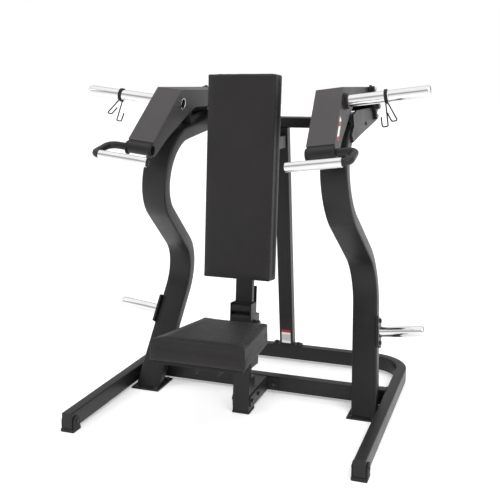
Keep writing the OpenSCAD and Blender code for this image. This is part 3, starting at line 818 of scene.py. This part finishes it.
for s, name in SIDES:
    lever, at = f"{name}_lever", side(s)
    piece(f"{name}_bent_handle", handle(), M_BLACK, lever, at=at, replaces=[f"{name}_handle"], sharp=40)
    piece(f"{name}_grip_sleeve", grip(), M_CHROME, lever, at=at, replaces=[f"{name}_grip"])
    piece(f"{name}_chrome_horn", horn(name), M_CHROME, lever, at=at, replaces=[f"{name}_horn"], sharp=25)
    piece(f"{name}_chrome_peg", peg(), M_CHROME, "frame", at=at, replaces=[f"{name}_peg"], sharp=25)
    piece(f"{name}_spring_collar", collar(name), M_WIRE, f"{name}_collar", at=at,
          replaces=[f"{name}_clip"], sharp=60)
    piece(f"{name}_horn_plug", horn_plug(), M_RUBBER, lever, at=at)
    piece(f"{name}_grip_plug", grip_plug(), M_RUBBER, lever, at=at)

# ---------------------------------------------------------------- sloping covers
COVER_TOP, COVER_FOOT = (0.535, 1.495), (0.277, 1.263)  # the slope's two ends, in y and w
COVER_RUN = math.dist(COVER_TOP, COVER_FOOT)
COVER_PITCH = math.atan2(COVER_TOP[1] - COVER_FOOT[1], COVER_TOP[0] - COVER_FOOT[0])
COVER_THICK = 0.006
STEP = 0.012  # how far up the slope the cover plate starts, above the lip
for s, name in SIDES:
    slope = side(s) @ on_axis(COVER_FOOT) @ Matrix.Rotation(COVER_PITCH, 4, "X")
    plate = block((0.0, STEP, -COVER_THICK), (POST_W, COVER_RUN - 0.002, 0.0))
    piece(f"{name}_cover_plate", plate, M_LIT_COVER, f"{name}_lever", at=slope, replaces=[f"{name}_cover"],
          bevel=0.0013, segments=3)
    lip = block((0.003, -0.004, -0.010), (POST_W - 0.003, STEP + 0.001, -0.0030))
    piece(f"{name}_cover_lip", lip, M_BLACK, f"{name}_lever", at=slope, bevel=0.0008)

# ---------------------------------------------------------------- bolts and bearing inserts
PIVOT = (1.120, 1.412)  # of a lever, in y and w
PEG_PLATE = (0.786, 0.345)  # the middle of the plate that carries a peg
PEG_TILT = Matrix.Rotation(math.radians(-LOW_LEAN), 4, "X")
M10_R, M12_R = 0.0095, 0.0105  # of the hex heads, to their corners
WASHER_R = 0.0117
# a bolt head stands along its own +X; these turn it
UP = Matrix.Rotation(math.radians(-90), 4, "Y")
BACK = Matrix.Rotation(math.radians(180), 4, "Z")
FRONT = Matrix.Rotation(math.radians(-90), 4, "Z")


def spot(x, y, z, turn=None):
    """A place for a bolt head, which stands along local +X."""
    at = Matrix.Translation((x, y, z))
    return at @ turn if turn else at


def heads(name, places, r, h, mat, node=None, washer=0.0):
    """All the bolt heads of one kind, as one piece on the frame."""
    bms = [placed(bolt(r, h, washer), at) for at in places]
    piece(name, merge(bms), mat, "frame", replaces=[node] if node else (), sharp=25)


base_at, gusset_at, peg_at, bearing_at, ear_at = [], [], [], [], []
for s, _ in SIDES:
    outward = BACK if s < 0 else None
    base_at += [ROOM @ spot(s * x, y, BASE_TOP, UP) for x in (0.497, 0.600) for y in (0.562, 0.705)]
    gusset_at += [ROOM @ spot(s * 0.046, y, 0.057, outward) for y in (0.480, 0.570)]
    gusset_at.append(ROOM @ spot(s * 0.076, 0.719, 0.052, FRONT))
    peg_at += [side(s) @ spot(0.129, *PEG_PLATE) @ PEG_TILT @ spot(0, 0, d) for d in (-0.053, 0.053)]
    for d in (-0.065, 0.065):
        bearing_at.append(side(s) @ spot(0.143, PIVOT[0], PIVOT[1] + d))
        bearing_at.append(side(s) @ spot(-0.024, PIVOT[0], PIVOT[1] + d, BACK))
    ear_at.append(side(s) @ spot(0.1288, 0.902, 1.323))
flange_at = [ROOM @ spot(x, 1.213, 0.100, UP) for x in (-0.062, 0.062)]
heads("base_bolt_heads", base_at, M10_R, 0.0090, M_OXIDE, "base_bolts", WASHER_R)
heads("flange_bolt_heads", flange_at, M10_R, 0.0090, M_OXIDE, "flange_bolts", WASHER_R)
heads("gusset_bolt_heads", gusset_at, M10_R, 0.0080, M_OXIDE, "gusset_bolts")
heads("peg_bolt_heads", peg_at, M12_R, 0.0080, M_OXIDE, "peg_bolts")
heads("bearing_bolt_heads", bearing_at, M12_R, 0.0090, M_ZINC, "bearing_bolts")
heads("ear_bolt_heads", ear_at, 0.0085, 0.0055, M_OXIDE)

# a grooved steel insert in the face of each bearing housing
INSERT = [(0.0155, 0.0004), (0.0175, 0.0004), (0.0180, 0.0011), (0.0255, 0.0011), (0.0260, 0.0004),
          (0.0300, 0.0004), (0.0306, 0.0012), (0.0306, -0.0026), (0.0155, -0.0026)]
for s, name in SIDES:
    faces = (spot(0.1600, *PIVOT), spot(-0.0410, *PIVOT, BACK))
    inserts = merge([placed(lathe(INSERT, 48, close=False), at) for at in faces])
    piece(f"{name}_bearing_inserts", inserts, M_OXIDE, "frame", at=side(s), sharp=25)

# ---------------------------------------------------------------- weld beads
PROUD_BEAD = 0.0005  # how far a bead's centreline stands off the faces it joins
LEG_INNER = LEG_X - LEG_W / 2 - PROUD_BEAD
TUBE_TOP = LEG_Z + LEG_H / 2 + PROUD_BEAD
POST_OUTER = POST_W + PROUD_BEAD
POST_CUT = 1.13  # how much deeper a post's level cut is than its tube


def circle(y, w, r, u, n=40):
    """Points round an axis that lies along u."""
    turn = [2 * math.pi * i / n for i in range(n)]
    return [(u, y + r * math.cos(a), w + r * math.sin(a)) for a in turn]


def foot_weld(s):
    """Round a post's foot, on its base plate."""
    y0 = FOOT_Y + BASE_TOP * math.tan(math.radians(LOW_LEAN))
    section = outline(POST_W, POST_D, POST_EDGE, 3)
    ring = [side(s) @ Vector((x + POST_W / 2, y0 + y * POST_CUT, 0)) for x, y in section]
    return weld([(p.x, p.y, BASE_TOP + 0.0015) for p in ring], 0.0034, 1, closed=True)


def peg_plate_weld(s):
    """Round the plate that carries a peg."""
    half_y, half_w = 0.038, 0.070
    corners = [(-half_y, -half_w), (half_y, -half_w), (half_y, half_w), (-half_y, half_w)]
    at = side(s) @ on_axis(PEG_PLATE, POST_OUTER) @ PEG_TILT
    return weld([at @ Vector((0, y, w)) for y, w in corners], 0.0026, 5, closed=True)


def floor_weld(points, r, seed):
    """Along a joint of the base, through points in ROOM."""
    return weld([ROOM @ Vector(p) for p in points], r, seed)


beads = []
for s, _ in SIDES:
    beads.append(foot_weld(s))
    for y in (0.7265, 0.7775):
        beads.append(floor_weld([(s * LEG_INNER, y, z) for z in (0.018, 0.088)], 0.0030, 2))
    beads.append(floor_weld([(s * LEG_INNER, y, TUBE_TOP) for y in (0.728, 0.776)], 0.0028, 3))
    beads.append(floor_weld([(s * CORNER_X, y, TUBE_TOP) for y in (1.192, 1.238)], 0.0024, 4))
    beads.append(peg_plate_weld(s))
    ear_line = ((0.594, 1.2545), (0.735, 1.2745), (1.155, 1.3235))
    beads.append(weld([side(s) @ Vector((POST_OUTER, y, w)) for y, w in ear_line], 0.0026, 6))
beads.append(floor_weld([(x, 0.724, TUBE_TOP) for x in (-0.0405, 0.0405)], 0.0026, 7))
piece("frame_welds", merge(beads), M_BLACK, "frame", sharp=60)
for s, name in SIDES:
    beads = [weld(circle(*BAR, 0.0258, u), 0.0022, 8, closed=True) for u in (0.0015, 0.1175)]
    beads.append(weld(circle(*HORN, 0.0338, 0.1178), 0.0022, 9, closed=True))
    piece(f"{name}_lever_welds", merge(beads), M_BLACK, f"{name}_lever", at=side(s), sharp=60)

# ---------------------------------------------------------------- camera, floor and light
camera = bpy.data.objects.new("camera", bpy.data.cameras.new("camera"))
scene.collection.objects.link(camera)
camera.location = (1.1638, -3.3078, 1.500)
camera.rotation_euler = (math.radians(90 - 11.91), 0.0, 0.3408)
camera.data.lens = 55.53
camera.data.sensor_width = 36
camera.data.shift_x = 0.0028
camera.data.shift_y = -0.0028
scene.camera = camera

floor_look = Look("pale_floor", rough=0.8, spec=0.1)
floor_look.shader.inputs["Emission Color"].default_value = (1, 1, 1, 1)
floor_look.shader.inputs["Emission Strength"].default_value = 0.34
floor_look.colour(floor_look.ramp(floor_look.noise(3, 3), [(0.3, grey(0.93)), (0.7, grey(0.95))]))
bm = bmesh.new()
bmesh.ops.create_grid(bm, x_segments=8, y_segments=8, size=60)
mesh = bpy.data.meshes.new("floor")
bm.to_mesh(mesh)
bm.free()
floor = bpy.data.objects.new("floor", mesh)
scene.collection.objects.link(floor)
mesh.materials.append(floor_look.mat)


def softbox(name, at, aim, width, height, power):
    """A rectangular light at one point, turned to another."""
    light = bpy.data.lights.new(name, "AREA")
    light.shape = "RECTANGLE"
    light.size = width
    light.size_y = height
    light.energy = power
    obj = bpy.data.objects.new(name, light)
    scene.collection.objects.link(obj)
    obj.location = at
    obj.rotation_euler = (Vector(aim) - Vector(at)).to_track_quat("-Z", "Y").to_euler()


def studio(stops, strength):
    """A white studio: bright overhead and at the horizon, with a grey band of wall between."""
    world = bpy.data.worlds.new("studio")
    world.use_nodes = True
    scene.world = world
    sky = world.node_tree
    height = sky.nodes.new("ShaderNodeSeparateXYZ")
    sky.links.new(sky.nodes.new("ShaderNodeTexCoord").outputs["Generated"], height.inputs[0])
    bands = sky.nodes.new("ShaderNodeValToRGB")
    sky.links.new(height.outputs["Z"], bands.inputs["Fac"])
    while len(bands.color_ramp.elements) < len(stops):
        bands.color_ramp.elements.new(0.5)
    for element, (at, value) in zip(bands.color_ramp.elements, stops):
        element.position = at
        element.color = (value, value, value, 1)
    sky.links.new(bands.outputs["Color"], sky.nodes["Background"].inputs["Color"])
    sky.nodes["Background"].inputs["Strength"].default_value = strength


CHEST = (0, 0, 0.8)  # what the lights aim at
softbox("key", (2.6, -2.2, 3.4), CHEST, 2.4, 2.4, 60)
softbox("fill", (-3.4, -2.0, 2.4), CHEST, 2.0, 2.6, 25)
studio(((0.19, 0.80), (0.25, 0.40), (0.62, 0.46), (0.74, 1.0)), 1.25)
scene.view_settings.view_transform = "Standard"
